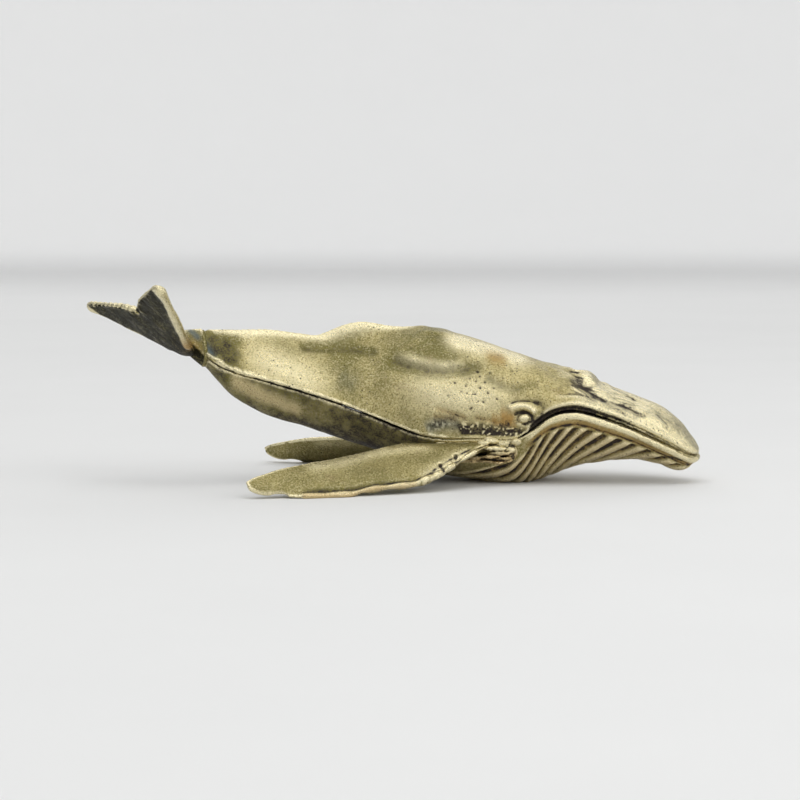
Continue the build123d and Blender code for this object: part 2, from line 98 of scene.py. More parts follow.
def body_coordinates(points):
    """Share of the length, distance to the left and distance up from the section's middle."""
    turn = np.arctan2(points[:, 0] - NEUTRAL_X, points[:, 1] + BEND_RADIUS)
    run = turn * BEND_RADIUS
    shares = (run + NEUTRAL_X - TAIL_X) / BODY_LENGTH
    out = np.hypot(points[:, 0] - NEUTRAL_X, points[:, 1] + BEND_RADIUS) - BEND_RADIUS
    roll = np.where(run > 0, HEAD_ROLL * run / (SNOUT_X - NEUTRAL_X), TAIL_ROLL * run / (NEUTRAL_X - TAIL_X))
    rise = points[:, 2] - BODY_HEIGHT * at_station(MIDDLE_SHARES, shares)
    across = out * np.cos(roll) + rise * np.sin(roll)
    up = rise * np.cos(roll) - out * np.sin(roll)
    return shares, across, up


def fade(low, high, values):
    """0 at low and 1 at high, smooth between them; low may be the larger one."""
    t = np.clip((values - low) / (high - low), 0, 1)
    return t * t * (3 - 2 * t)


def band(values, low, high, soft):
    """1 between low and high, falling to 0 over the soft distance outside."""
    return fade(low - soft, low, values) * (1 - fade(high, high + soft, values))


def bell(values, width):
    """1 where the value is 0, falling away smoothly over the width on either side."""
    return np.exp(-(values / width) ** 2)


def around(points, spot, radius):
    return bell(np.linalg.norm(points - spot, axis=1), radius)


# Camera rays through the photograph's pixels
camera_back = np.array([0, -cos(CAMERA_RISE), sin(CAMERA_RISE)])
camera_up = np.array([0, sin(CAMERA_RISE), cos(CAMERA_RISE)])
camera_place = CAMERA_TARGET + CAMERA_DISTANCE * camera_back


def mesh_arrays(mesh):
    """Places and normals of a mesh's points, in millimetres."""
    places = np.empty(len(mesh.vertices) * 3)
    mesh.vertices.foreach_get("co", places)
    normals = np.empty(len(mesh.vertices) * 3)
    mesh.vertices.foreach_get("normal", normals)
    return places.reshape(-1, 3) / MM, normals.reshape(-1, 3)


def surface_of(*nodes):
    """Search tree of the CAD nodes' faces, in millimetres."""
    points = []
    faces = []
    for node in nodes:
        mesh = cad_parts[node].data
        first = len(points)
        points += [vertex.co / MM for vertex in mesh.vertices]
        faces += [[first + index for index in polygon.vertices] for polygon in mesh.polygons]
    return BVHTree.FromPolygons(points, faces)


def seen_points(surface, pixels):
    """Where the photograph's pixels fall on the side of a surface that the camera sees."""
    found = []
    for across, down in pixels:
        aim = (-CAMERA_DISTANCE * camera_back
               + camera_up * (IMAGE_SIDE / 2 - down) / PIXELS_PER_MM
               + np.array([1, 0, 0]) * (across - IMAGE_SIDE / 2) / PIXELS_PER_MM)
        place = surface.ray_cast(Vector(camera_place), Vector(aim))[0]
        if place is not None:
            found.append(place)
    return np.array(found)


def in_picture(points):
    """Pixels across and down at which the camera sees each point."""
    aim = points - camera_place
    scale = -CAMERA_DISTANCE * PIXELS_PER_MM / (aim @ camera_back)
    return IMAGE_SIDE / 2 + aim[:, 0] * scale, IMAGE_SIDE / 2 - (aim @ camera_up) * scale


def smooth_path(points, steps=6):
    """Points of a smooth curve through the given ones."""
    if len(points) < 3:
        return points
    padded = np.vstack([2 * points[0] - points[1], points, 2 * points[-1] - points[-2]])
    path = []
    for before, here, ahead, after in zip(padded, padded[1:], padded[2:], padded[3:]):
        for step in range(steps):
            t = step / steps
            path.append(0.5 * (2 * here + (ahead - before) * t
                               + (2 * before - 5 * here + 4 * ahead - after) * t ** 2
                               + (3 * here - before - 3 * ahead + after) * t ** 3))
    path.append(points[-1])
    return np.array(path)


def seen_path(surface, pixels):
    return smooth_path(seen_points(surface, pixels))


def path_distance(points, path):
    """Distance of each point to the path, and how far along the path its nearest place is."""
    nearest = np.full(len(points), np.inf)
    along = np.zeros(len(points))
    lengths = np.linalg.norm(np.diff(path, axis=0), axis=1)
    starts = np.concatenate([[0], np.cumsum(lengths)])
    for index, length in enumerate(lengths):
        if length == 0:
            continue
        step = path[index + 1] - path[index]
        t = np.clip((points - path[index]) @ step / length ** 2, 0, 1)
        distance = np.linalg.norm(points - path[index] - t[:, None] * step, axis=1)
        closer = distance < nearest
        nearest[closer] = distance[closer]
        along[closer] = (starts[index] + t[closer] * length) / starts[-1]
    return nearest, along


# Marks that strokes write on a piece, and that the material reads: patina that also carries painted shade,
# shine for wear and painted highlights, warm and tint colours, and tone for mottling and painted light and
# shade
MARKS = ("patina", "shine", "warm", "tint", "tone")

# Sculpting: melting, bright specks, and the bends that count as hollow or edge
MELT_SHARE = 0.9
SPECK_FIELD_LEAST = 0.02
SPECK_LIMITS = (0.16, 0.36)
BEND_ROUNDS = 6
HOLLOW_BENDS = (0.05, 0.6)
HOLLOW_PATINA = 0.8
EDGE_BENDS = (0.12, 0.6)


def add_lumps(mesh, lumps):
    """Adds rounded lumps, each a middle and three radii in millimetres, to a mesh."""
    made = bmesh.new()
    made.from_mesh(mesh)
    for middle, radii in lumps:
        place = Matrix.Translation(Vector(middle) * MM) @ Matrix.Diagonal((*(Vector(radii) * MM), 1))
        bmesh.ops.create_icosphere(made, subdivisions=3, radius=1, matrix=place)
    made.to_mesh(mesh)
    made.free()


class Sculpt:
    """A copy of a CAD node as one fine mesh that strokes push in and out."""

    def __init__(self, name, node, voxel, lumps=()):
        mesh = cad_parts[node].data.copy()
        mesh.name = name
        add_lumps(mesh, lumps)
        self.object = add_object(name, mesh)
        remesh = self.object.modifiers.new("remesh", "REMESH")
        remesh.mode = "VOXEL"
        remesh.voxel_size = voxel * MM
        relax = self.object.modifiers.new("relax", "SMOOTH")
        relax.factor = 0.5
        relax.iterations = 2
        bpy.context.view_layer.update()
        self.take()
        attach(self.object, "root")
        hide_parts(node)

    def take(self):
        """Makes what the modifiers give the piece's own mesh, and reads it."""
        evaluated = self.object.evaluated_get(bpy.context.evaluated_depsgraph_get())
        mesh = bpy.data.meshes.new_from_object(evaluated)
        self.object.modifiers.clear()
        self.object.vertex_groups.clear()
        self.object.data = mesh
        mesh.name = self.object.name
        self.read()
        edges = np.empty(len(mesh.edges) * 2, int)
        mesh.edges.foreach_get("vertices", edges)
        self.edges = edges.reshape(-1, 2).T
        self.near = np.bincount(self.edges.ravel(), minlength=len(self.places))
        self.marks = {key: np.zeros(len(self.places)) for key in MARKS}

    def read(self):
        self.places, self.normals = mesh_arrays(self.object.data)
        self.push = np.zeros(len(self.places))

    def thin_out(self, hidden, share):
        """Leaves fewer faces where nobody sees them."""
        group = self.object.vertex_groups.new(name="hidden")
        group.add([int(index) for index in np.flatnonzero(hidden)], 1, "REPLACE")
        decimate = self.object.modifiers.new("thin", "DECIMATE")
        decimate.vertex_group = "hidden"
        decimate.ratio = share
        self.take()

    def apply(self):
        """Moves the points by what the strokes so far have added, but not under the floor."""
        moved = (self.places + self.normals * self.push[:, None]) * MM
        moved[:, 2] = np.maximum(moved[:, 2], 0)
        self.object.data.vertices.foreach_set("co", moved.astype(np.float32).ravel())
        self.object.data.update()
        self.read()

    def average(self, values):
        """Mean of each point's neighbours."""
        first, second = self.edges
        total = (np.bincount(first, values[second], len(values))
                 + np.bincount(second, values[first], len(values)))
        return total / np.maximum(self.near, 1)

    def soften(self, weight, rounds):
        """Melts creases where the weight is above 0."""
        chosen = MELT_SHARE * np.clip(weight, 0, 1)
        for _ in range(rounds):
            for axis in range(3):
                mean = self.average(self.places[:, axis])
                self.places[:, axis] += chosen * (mean - self.places[:, axis])
        self.apply()

    def stroke(self, points, path, width, height=0, ends=0.12, where=1, **marks):
        """Raises (or lowers) the surface along a path, and marks it."""
        distance, along = path_distance(points, path)
        weight = bell(distance, width) * where
        if ends:
            weight = weight * fade(0, ends, along) * (1 - fade(1 - ends, 1, along))
        self.add(weight, height, **marks)

    def add(self, weight, height=0, **marks):
        self.push += height * weight
        for key, amount in marks.items():
            self.marks[key] += amount * weight

    def roughen(self, size, height, seed, where=1):
        """Uneven surface of a hand-finished casting."""
        shift = Vector((seed, 2 * seed, 3 * seed))
        bumps = [noise.noise(Vector(place) / size + shift) for place in self.places]
        self.push += height * where * np.array(bumps)

    def speckle(self, size, seed, where):
        """Bright raised specks."""
        shift = Vector((seed, 2 * seed, 3 * seed))
        values = np.zeros(len(self.places))
        for index in np.flatnonzero(where > SPECK_FIELD_LEAST):
            values[index] = noise.noise(Vector(self.places[index]) / size + shift)
        self.add(where * fade(*SPECK_LIMITS, values), height=0.06, patina=-1.1, shine=1.2)

    def hollows(self):
        """Above 0 in a hollow and below 0 on an edge, for each point."""
        first, second = self.edges
        step = self.places[second] - self.places[first]
        square = (step ** 2).sum(1) + 1e-9
        count = len(self.places)
        bend = (np.bincount(first, (self.normals[first] * step).sum(1) / square, count)
                - np.bincount(second, (self.normals[second] * step).sum(1) / square, count))
        bend /= np.maximum(self.near, 1)
        for _ in range(BEND_ROUNDS):
            bend = 0.5 * bend + 0.5 * self.average(bend)
        return bend

    def finish(self, material, slot, hollow_dark=1, edge_shine=1):
        """Moves the points, then writes the marks that the material reads."""
        self.apply()
        bend = self.hollows()
        self.marks["patina"] += HOLLOW_PATINA * hollow_dark * fade(*HOLLOW_BENDS, bend)
        self.marks["shine"] += edge_shine * fade(*EDGE_BENDS, -bend)
        mesh = self.object.data
        for key, values in self.marks.items():
            attribute = mesh.attributes.new(key, "FLOAT", "POINT")
            lowest = -1 if key == "tone" else 0
            attribute.data.foreach_set("value", np.clip(values, lowest, 1).astype(np.float32))
        mesh.polygons.foreach_set("use_smooth", [True] * len(mesh.polygons))
        mesh.materials.clear()
        mesh.materials.append(material)


# Materials
class Nodes:
    """Material with short ways to add nodes to its tree."""

    def __init__(self, name):
        self.material = bpy.data.materials.new(name)
        self.material.use_nodes = True
        self.tree = self.material.node_tree
        self.shader = self.tree.nodes["Principled BSDF"]
        self.place = self.new("TexCoord").outputs["Object"]

    def new(self, kind, **values):
        node = self.tree.nodes.new("ShaderNode" + kind)
        for name, value in values.items():
            node.inputs[name].default_value = value
        return node

    def link(self, source, target):
        self.tree.links.new(source, target)

    def attribute(self, name):
        node = self.new("Attribute")
        node.attribute_name = name
        return node.outputs["Fac"]

    def noise(self, per_mm, detail=4, roughness=0.55, distortion=0):
        node = self.new("TexNoise", Scale=per_mm / MM, Detail=detail, Roughness=roughness,
                        Distortion=distortion)
        self.link(self.place, node.inputs["Vector"])
        return node.outputs["Fac"]

    def cells(self, per_mm):
        node = self.new("TexVoronoi", Scale=per_mm / MM)
        self.link(self.place, node.inputs["Vector"])
        return node.outputs["Distance"]

    def ramp(self, value, low, high, to_low=0, to_high=1):
        limits = {"From Min": low, "From Max": high, "To Min": to_low, "To Max": to_high}
        node = self.new("MapRange", **limits)
        node.interpolation_type = "SMOOTHSTEP"
        self.link(value, node.inputs["Value"])
        return node.outputs["Result"]

    def math(self, operation, first, second, clamp=False):
        node = self.new("Math")
        node.operation = operation
        node.use_clamp = clamp
        for socket, value in zip(node.inputs, (first, second)):
            if isinstance(value, (int, float)):
                socket.default_value = value
            else:
                self.link(value, socket)
        return node.outputs[0]

    def mix(self, factor, first, second):
        node = self.new("Mix")
        node.data_type = "RGBA"
        self.link(factor, node.inputs["Factor"])
        for socket, value in ((node.inputs[6], first), (node.inputs[7], second)):
            if isinstance(value, tuple):
                socket.default_value = (*value, 1)
            else:
                self.link(value, socket)
        return node.outputs[2]

    def bump(self, height, strength, distance, normal=None):
        node = self.new("Bump", Strength=strength, Distance=distance * MM)
        self.link(height, node.inputs["Height"])
        if normal is not None:
            self.link(normal, node.inputs["Normal"])
        return node.outputs["Normal"]


# Colours of the brass, its patina and the painted shade that shares the patina's colour
BRASS_PALE = (0.86, 0.77, 0.49)
BRASS = (0.47, 0.395, 0.18)
BRASS_OLIVE = (0.165, 0.145, 0.048)
BRASS_BROWN = (0.25, 0.185, 0.085)
BRASS_WARM = (0.42, 0.26, 0.085)
BRASS_BLUE = (0.075, 0.12, 0.15)
# dark patina, also used as painted shade
PATINA_AND_SHADE = (0.046, 0.037, 0.032)
# near-black for the flukes: patina in their hollows and painted shade on their underside
FLUKE_PATINA_AND_SHADE = (0.017, 0.015, 0.005)
FIN_BRASS = (0.33, 0.28, 0.115)

# How strongly the brass takes its mottling, pits, patina and shine
MOTTLE_SHARE = 0.5
PIT_PATINA = 0.9
PATINA_METAL = 0.8
PATINA_ROUGHNESS = 0.26
SHINE_POLISH = 0.14


def cast_brass(name, base=BRASS, recess_and_shade=PATINA_AND_SHADE, pits=1, dull=0):
    """Cast brass: mottled metal, dark pits and recesses, worn bright edges, and the painted shade and painted
    highlights that its marks carry.
    """
    brass = Nodes(name)
    mottle = brass.noise(per_mm=0.14, detail=6, roughness=0.62, distortion=0.6)
    mottle = brass.ramp(mottle, low=0.4, high=0.6)
    stain = brass.noise(per_mm=0.33, detail=5, roughness=0.65, distortion=0.8)
    stain = brass.ramp(stain, low=0.56, high=0.72)
    grain = brass.noise(per_mm=4.2, detail=4, roughness=0.78)
    dark_grain = brass.ramp(grain, low=0.4, high=0.49, to_low=1, to_high=0)
    pale_grain = brass.ramp(grain, low=0.5, high=0.62)
    fleck = brass.ramp(brass.noise(per_mm=1.1, detail=5, roughness=0.8), low=0.55, high=0.66)
    pit_cells = brass.ramp(brass.cells(per_mm=1.25), low=0.07, high=0.17, to_low=1, to_high=0)
    pit_field = brass.ramp(brass.noise(per_mm=0.22, detail=2, roughness=0.5), low=0.42, high=0.56)
    pit = brass.math("MULTIPLY", brass.math("MULTIPLY", pit_cells, pit_field), pits)
    fine_rag = brass.ramp(grain, low=0.35, high=0.65, to_low=-0.32, to_high=0.28)
    coarse_noise = brass.noise(per_mm=0.6, detail=4, roughness=0.6)
    coarse_rag = brass.ramp(coarse_noise, low=0.35, high=0.65, to_low=-0.22, to_high=0.18)
    ragged = brass.math("ADD", brass.math("ADD", brass.attribute("patina"), fine_rag), coarse_rag)
    darkest = brass.math("MAXIMUM", ragged, brass.math("MULTIPLY", pit, PIT_PATINA))
    patina = brass.ramp(darkest, low=0.2, high=1)
    worn = brass.ramp(grain, low=0.25, high=0.5)
    shine = brass.math("MULTIPLY", brass.attribute("shine"), worn, clamp=True)

    tone = brass.math("MULTIPLY", mottle, MOTTLE_SHARE)
    tone = brass.math("ADD", tone, brass.attribute("tone"), clamp=True)
    colour = brass.mix(tone, base, BRASS_OLIVE)
    for field, share, other in ((stain, 0.55, BRASS_BROWN), (pale_grain, 0.4, BRASS_PALE),
                                (dark_grain, 0.75, BRASS_OLIVE), (fleck, 0.45, BRASS_OLIVE)):
        colour = brass.mix(brass.math("MULTIPLY", field, share), colour, other)
    for mark, other in ((shine, BRASS_PALE), (brass.attribute("warm"), BRASS_WARM),
                        (brass.attribute("tint"), BRASS_BLUE), (patina, recess_and_shade)):
        colour = brass.mix(mark, colour, other)
    brass.link(colour, brass.shader.inputs["Base Color"])

    metal = brass.ramp(patina, low=0, high=1, to_low=1, to_high=PATINA_METAL)
    brass.link(metal, brass.shader.inputs["Metallic"])
    brass.shader.inputs["Specular IOR Level"].default_value = 0.3
    uneven = brass.noise(per_mm=0.7, detail=4, roughness=0.6)
    rough = brass.ramp(uneven, low=0.3, high=0.7, to_low=0.24, to_high=0.42)
    rough = brass.math("ADD", rough, brass.math("MULTIPLY", patina, PATINA_ROUGHNESS))
    rough = brass.math("ADD", rough, brass.ramp(grain, low=0.3, high=0.7, to_low=-0.06, to_high=0.1))
    rough = brass.math("SUBTRACT", rough, brass.math("MULTIPLY", shine, SHINE_POLISH))
    brass.link(brass.math("ADD", rough, dull), brass.shader.inputs["Roughness"])

    relief = brass.bump(brass.noise(per_mm=0.45, detail=3, roughness=0.5), strength=0.5, distance=0.18)
    relief = brass.bump(grain, strength=0.8, distance=0.14, normal=relief)
    relief = brass.bump(brass.math("SUBTRACT", 1, pit), strength=0.8, distance=0.12, normal=relief)
    brass.link(relief, brass.shader.inputs["Normal"])
    return brass.material


body_brass = cast_brass("body_brass")
fin_brass = cast_brass("fin_brass", base=FIN_BRASS, pits=0.5)
fluke_brass = cast_brass("fluke_brass", base=FIN_BRASS, recess_and_shade=FLUKE_PATINA_AND_SHADE, pits=0.6)
braze_brass = cast_brass("braze_metal", pits=1, dull=0.08)
pin_brass = cast_brass("pin_brass", pits=0.1)

# Body: the two castings, sizes in millimetres and places along it as shares of its length
MOUTH_CORNER = 0.685

# How far a normal has to point outward to belong to the skin, and limits that keep its sum sound
SKIN_TURN = 0.4
LEAST_REACH = 0.3
NUDGE = 0.001

body_surface = surface_of("back_casting", "belly_casting")


def near_side(points):
    """Body coordinates in millimetres, with the far half folded onto the half that the camera sees."""
    shares, across, up = body_coordinates(points)
    return np.column_stack([shares * BODY_LENGTH, -np.abs(across), up])


class Body(Sculpt):
    """A casting of the body, with its place given along and around the body."""

    def locate(self):
        self.shares, self.across, self.up = body_coordinates(self.places)
        self.folded = near_side(self.places)
        ahead = body_coordinates(self.places + self.normals)
        outward = (ahead[1] - self.across) * self.across + (ahead[2] - self.up) * (self.up + NUDGE)
        reach = np.maximum(np.hypot(self.across, self.up), LEAST_REACH)
        self.skin = fade(0, SKIN_TURN, outward / reach)
        middle = at_station(MIDDLE_SHARES, self.shares)
        self.above = self.up - BODY_HEIGHT * (at_station(SEAM_SHARES, self.shares) - middle)
        half_width = BODY_HALF_WIDTH * at_station(WIDTH_SHARES, self.shares)
        self.chord = np.hypot(self.above, half_width - np.abs(self.across))

    def line(self, pixels, width, height=0, **marks):
        path = near_side(seen_path(body_surface, pixels))
        self.stroke(self.folded, path, width, height, where=self.skin, **marks)

    def dot(self, pixel, radius, height, **marks):
        spot = near_side(seen_points(body_surface, [pixel]))[0]
        self.add(around(self.folded, spot, radius) * self.skin, height, **marks)

    def along(self, low, high, soft):
        return band(self.shares, low, high, soft) * self.skin


# Mouth and seam. Zones are start, end and fade: shares of the length, or millimetres above the seam
MOUTH = (MOUTH_CORNER + 0.01, 1.02, 0.02)
MOUTH_WIDTH = 0.6
MOUTH_LOSS = 0.32
MOUTH_NARROWING = (0.78, 0.98)
MOUTH_EDGE_START = (MOUTH_CORNER - 0.02, MOUTH_CORNER)
MOUTH_EDGE_END = (0.79, 0.9)
TEETH_COUNT = 180
TEETH_STRENGTH = 0.25
UPPER_LIP = (0, 0.55, 0.25)
UPPER_LIP_END = (0.8, 0.92)
HIDDEN_SEAM = (0.47, 0.66, 0.02)
OPEN_SEAM = (0.06, 0.66, 0.03)
SEAM_CLOSING = 0.07
FLANK_SEAM = (0.06, 0.5, 0.03)
REAR_SEAM = (0.065, 0.16, 0.02)
REAR_SEAM_LEAST = 0.35
DASH_RATES = (170, 67)
DASH_SHIFT = 1.2
DASH_EDGE = (-0.2, 0.3)
DASH_RISE = 0.28


def carve_seam(piece):
    """Mouth, and behind its corner the filed seam of the castings."""
    hidden = piece.along(*HIDDEN_SEAM) * bell(piece.above, width=0.35)
    piece.add(hidden, height=0.16, patina=-1.6, tone=0.4, shine=-0.6)
    mouth = piece.along(*MOUTH)
    width = MOUTH_WIDTH - MOUTH_LOSS * fade(*MOUTH_NARROWING, piece.shares)
    piece.add(mouth * bell(piece.above, width), height=-0.42, patina=1.2)
    teeth = 1 - TEETH_STRENGTH + TEETH_STRENGTH * np.sin(piece.shares * TEETH_COUNT * 2 * pi)
    edge = fade(*MOUTH_EDGE_START, piece.shares)
    edge *= (1 - fade(*MOUTH_EDGE_END, piece.shares)) * bell(piece.above, width=0.6)
    piece.add(edge * teeth * (1 - piece.skin), patina=1.3, shine=-2)
    upper = band(piece.above, *UPPER_LIP) * (1 - fade(*UPPER_LIP_END, piece.shares))
    piece.add(mouth * teeth * upper, height=-0.1, patina=1.1, shine=-2)
    ledge = band(piece.shares, *OPEN_SEAM) * bell(piece.above, width=0.5) * (1 - piece.skin)
    piece.add(ledge, height=SEAM_CLOSING, patina=1.3, shine=-1)
    flank = piece.along(*FLANK_SEAM)
    fast, slow = DASH_RATES
    dashes = fade(*DASH_EDGE, np.sin(piece.shares * fast) * np.sin(piece.shares * slow + DASH_SHIFT))
    piece.add(flank * bell(piece.above, width=0.16), height=-0.06, patina=0.8)
    filed = flank * dashes * bell(piece.above - DASH_RISE, width=0.2)
    piece.add(filed, height=0.06, shine=1.2, patina=-0.6)
    rear = piece.along(*REAR_SEAM) * (REAR_SEAM_LEAST + (1 - REAR_SEAM_LEAST) * dashes)
    worn = rear * bell(piece.above - DASH_RISE, width=0.36)
    piece.add(worn, height=0.2, shine=2.2, patina=-2, tone=-1)


# Flank and back: paths in the photograph, and zones along and up the body
FOLD_PIXELS = [(380, 357), (394, 361), (410, 366), (428, 370), (445, 371), (464, 369), (484, 363)]
DORSAL_LINE_PIXELS = [(296, 346), (325, 348), (345, 348), (362, 350), (380, 352)]
FOLD_CREST_PIXELS = [(388, 354), (410, 359), (430, 364), (450, 365), (472, 360)]
SHADED_SHOULDER_PIXELS = [(422, 338), (434, 346), (448, 354), (462, 358)]
PAINTED_TOP_HIGHLIGHT_PIXELS = [(436, 336), (460, 341), (485, 348), (510, 356), (538, 366)]
CHEEK_FOLD_PIXELS = [(483, 374), (498, 385), (510, 390), (522, 388), (540, 383)]
LOWER_FOLD_PIXELS = [(300, 368), (340, 385), (380, 395), (420, 402)]
MID_FLANK_PIXELS = [(332, 373), (347, 380), (364, 388)]
PAINTED_FLANK_HIGHLIGHT_PIXELS = [(228, 345), (248, 354), (275, 365), (305, 378), (345, 392)]
PAINTED_SHOULDER_HIGHLIGHT_PIXELS = [(385, 390), (420, 392), (460, 397), (500, 396), (530, 392)]
PIT_PIXELS = [(470, 378), (476, 381), (480, 376), (485, 382), (478, 371), (490, 373), (494, 388),
              (488, 393), (466, 386), (461, 392), (497, 399), (472, 408), (470, 409), (483, 402),
              (480, 388), (475, 394), (503, 378), (512, 371), (455, 383), (448, 396)]
PAINTED_TAIL_SHADE_PIXELS = [(205, 338), (215, 345), (228, 352), (242, 366)]
BLUED_PIXELS = [(190, 331), (197, 337), (204, 344), (211, 352)]
BACK_STAIN_PIXELS = [(482, 358), (496, 358), (512, 362)]
SHADED_OLIVE_BACK = (0.24, 0.6, 0.08)
SHADED_OLIVE_BACK_RISE = (0.5, 4)
PAINTED_LIT_HEAD = (0.62, 0.98, 0.1)
PAINTED_TAIL_SHADE = (0.1, 0.15)
TAIL_JOINT = (0.066, 0.08)
HUMP = (0.485, 0.515, 0.03)
HUMP_ACROSS = (2.5, 1.5)
REAR_RIDGE = (0.04, 0.44, 0.03)


def carve_flank(piece):
    """Folds of the flank, the worn ridge of the back, painted highlights and shade on flank, back and head,
    and painted shade on the darker tail stock.
    """
    piece.line(FOLD_PIXELS, width=1.6, height=-0.4, tone=0.2)
    piece.line(FOLD_PIXELS, width=0.75, height=-0.2, ends=0.2, tone=1.3, patina=0.26)
    piece.line(DORSAL_LINE_PIXELS, width=0.7, height=-0.26, tone=1.3, patina=0.22)
    piece.line(FOLD_CREST_PIXELS, width=0.8, height=0.16, ends=0.3, shine=0.5, tone=-0.6)
    piece.line(SHADED_SHOULDER_PIXELS, width=1.9, height=-0.15, ends=0.3, tone=1.2, patina=0.2)
    # painted highlight along the top of the back
    piece.line(PAINTED_TOP_HIGHLIGHT_PIXELS, width=1.8, height=0.1, ends=0.25, shine=1.4, tone=-1.4)
    piece.line(CHEEK_FOLD_PIXELS, width=0.9, height=-0.18, tone=0.9, patina=0.15)
    piece.line(LOWER_FOLD_PIXELS, width=2.6, height=-0.22, ends=0.35, tone=0.3)
    piece.line(MID_FLANK_PIXELS, width=1.7, ends=0.4, tone=0.4, tint=0.15)
    # painted highlights on the flank and the shoulder
    piece.line(PAINTED_FLANK_HIGHLIGHT_PIXELS, width=2.8, height=0.1, ends=0.4, tone=-1, shine=0.65)
    piece.line(PAINTED_SHOULDER_HIGHLIGHT_PIXELS, width=2.6, height=0.12, ends=0.4, tone=-1, shine=0.75)
    for pixel in PIT_PIXELS:
        piece.dot(pixel, radius=0.19, height=-0.12, patina=1)
    # painted shade: the upper back darker
    piece.add(piece.along(*SHADED_OLIVE_BACK) * fade(*SHADED_OLIVE_BACK_RISE, piece.up), tone=0.4)
    # painted light: the head lighter
    piece.add(piece.along(*PAINTED_LIT_HEAD), tone=-0.45)
    # painted shade: the top of the tail stock darker
    tail = 1 - fade(*PAINTED_TAIL_SHADE, piece.shares)
    piece.add(tail * piece.skin * (piece.above > 0), tone=1.2, patina=0.5, shine=-0.3)
    # more painted shade in a patch near the flukes
    piece.line(PAINTED_TAIL_SHADE_PIXELS, width=1.5, patina=0.15)
    piece.add(1 - fade(*TAIL_JOINT, piece.shares), shine=-2)
    piece.line(BACK_STAIN_PIXELS, width=1.3, ends=0.4, warm=0.6, patina=0.24, shine=-0.5)
    piece.line(BLUED_PIXELS, width=0.65, ends=0, tint=0.8)
    top = fade(*HUMP_ACROSS, np.abs(piece.across)) * (piece.up > 0)
    piece.add(piece.along(*HUMP) * top, height=0.28)
    crest = piece.along(*REAR_RIDGE) * bell(piece.across, width=0.55) * (piece.up > 0)
    piece.add(crest, height=0.12, shine=1.6, patina=-1.4)


# Eye, its lids and the wrinkles and stains behind it
EYE_PIXEL = (523.6, 418.4)
EYE_BEAD_PIXELS = [(520.8, 418.9), (526.4, 417.9)]
EYE_CREASE_PIXELS = [(514, 416), (517, 413), (523, 412), (529, 413.5), (533, 418), (530, 423), (523, 424.5)]
LID_PIXELS = [(508, 411), (514, 407.5), (522, 406), (530, 408.5), (537, 414)]
LID_GROOVE_PIXELS = [(509, 405), (516, 402), (524, 401), (533, 402), (541, 406)]
EYE_BLOTCH_PIXELS = [(532, 401), (540, 403), (543, 409), (541, 416)]
LOWER_LID_PIXELS = [(514, 421), (520, 424.5), (527, 425), (534, 421)]
WRINKLE_PIXELS = [
    [(434, 408), (447, 412), (456, 415), (468, 419)],
    [(432, 416), (447, 418), (458, 421)],
    [(472, 417), (482, 419), (491, 421), (500, 424), (513, 425)],
]
STAIN_PIXELS = [[(490, 419), (503, 421), (518, 425)], [(500, 414), (508, 416), (514, 420)]]


def carve_eye(piece):
    piece.dot(EYE_PIXEL, radius=1.6, height=-0.12)
    piece.line(EYE_BEAD_PIXELS, width=0.55, height=0.62, ends=0, patina=-1.3, shine=1.5)
    piece.line(EYE_CREASE_PIXELS, width=0.24, height=-0.22, ends=0.05, patina=0.9)
    piece.line(LID_PIXELS, width=0.5, height=0.36, shine=1, patina=-0.5)
    piece.line(LID_GROOVE_PIXELS, width=0.24, height=-0.14, patina=0.7)
    piece.line(EYE_BLOTCH_PIXELS, width=0.42, height=-0.06, patina=0.6)
    piece.line(LOWER_LID_PIXELS, width=0.28, height=0.18, shine=0.5)
    for pixels in WRINKLE_PIXELS:
        piece.line(pixels, width=0.36, height=-0.11, patina=0.25, warm=0.35)
    for pixels in STAIN_PIXELS:
        piece.line(pixels, width=0.9, warm=0.6, patina=0.16)


# Head: blowhole mound, the ridge and groove in front of it, cheek and snout
MOUND_PIXELS = [(550, 372), (562, 372), (574, 374), (588, 378), (598, 386)]
BLOWHOLE_PIXELS = [(571, 372.5), (574, 372), (577, 372.5)]
RIDGE_PIXELS = [(581, 375), (588, 379), (595, 385), (602, 391), (610, 396)]
RIDGE_GROOVE_PIXELS = [(570, 382), (580, 384), (589, 389), (598, 396), (609, 400), (621, 404), (633, 409),
                       (644, 414)]
CHEEK_PIXELS = [(541, 392), (561, 391), (582, 393), (600, 401)]
MOUND_SHADE_PIXELS = [(568, 379), (576, 380), (584, 381)]
SNOUT_LINES = [
    [(622, 394), (636, 401), (650, 409), (662, 419)],
    [(643, 412), (652, 416), (660, 420), (668, 427)],
    [(600, 406), (615, 410), (628, 416), (642, 421)],
]
SNOUT_HIGHLIGHT_PIXEL = (693, 452)
SNOUT_TOP = (0.92, 1.02, 0.04)
SNOUT_TOP_RISE = (1, 2.5)
MOUND = (0.74, 0.86, 0.02)
MOUND_RISE = (1.5, 2.5)
LIP_RIM = (0.72, 0.97, 0.03)
LIP_RIM_RISE = 0.95
MARBLED = (0.76, 0.96, 0.04)
MARBLED_RISE = (1, 2.2)
VEIN_SCALES = (14, 1.1, 1.1)
VEIN_SHIFT = (0, 0, 5)
DARK_VEIN = 0.12
PALE_VEINS = (0, -0.3)
PAINTED_SNOUT_HIGHLIGHT = (0.8, 1.02, 0.05)


def raise_mound(piece):
    """Blowhole mound and the ridge that runs down from it, melted into the head."""
    piece.line(MOUND_PIXELS, width=1.5, height=0.25)
    piece.line(RIDGE_PIXELS, width=0.9, height=0.34)
    piece.line(RIDGE_GROOVE_PIXELS, width=0.75, height=-0.3)
    piece.add(piece.along(*SNOUT_TOP) * fade(*SNOUT_TOP_RISE, piece.above), height=0.35)
    piece.apply()
    melted = band(piece.shares, *MOUND) * fade(*MOUND_RISE, piece.above) * (piece.skin > 0)
    piece.soften(melted, rounds=10)
    piece.locate()


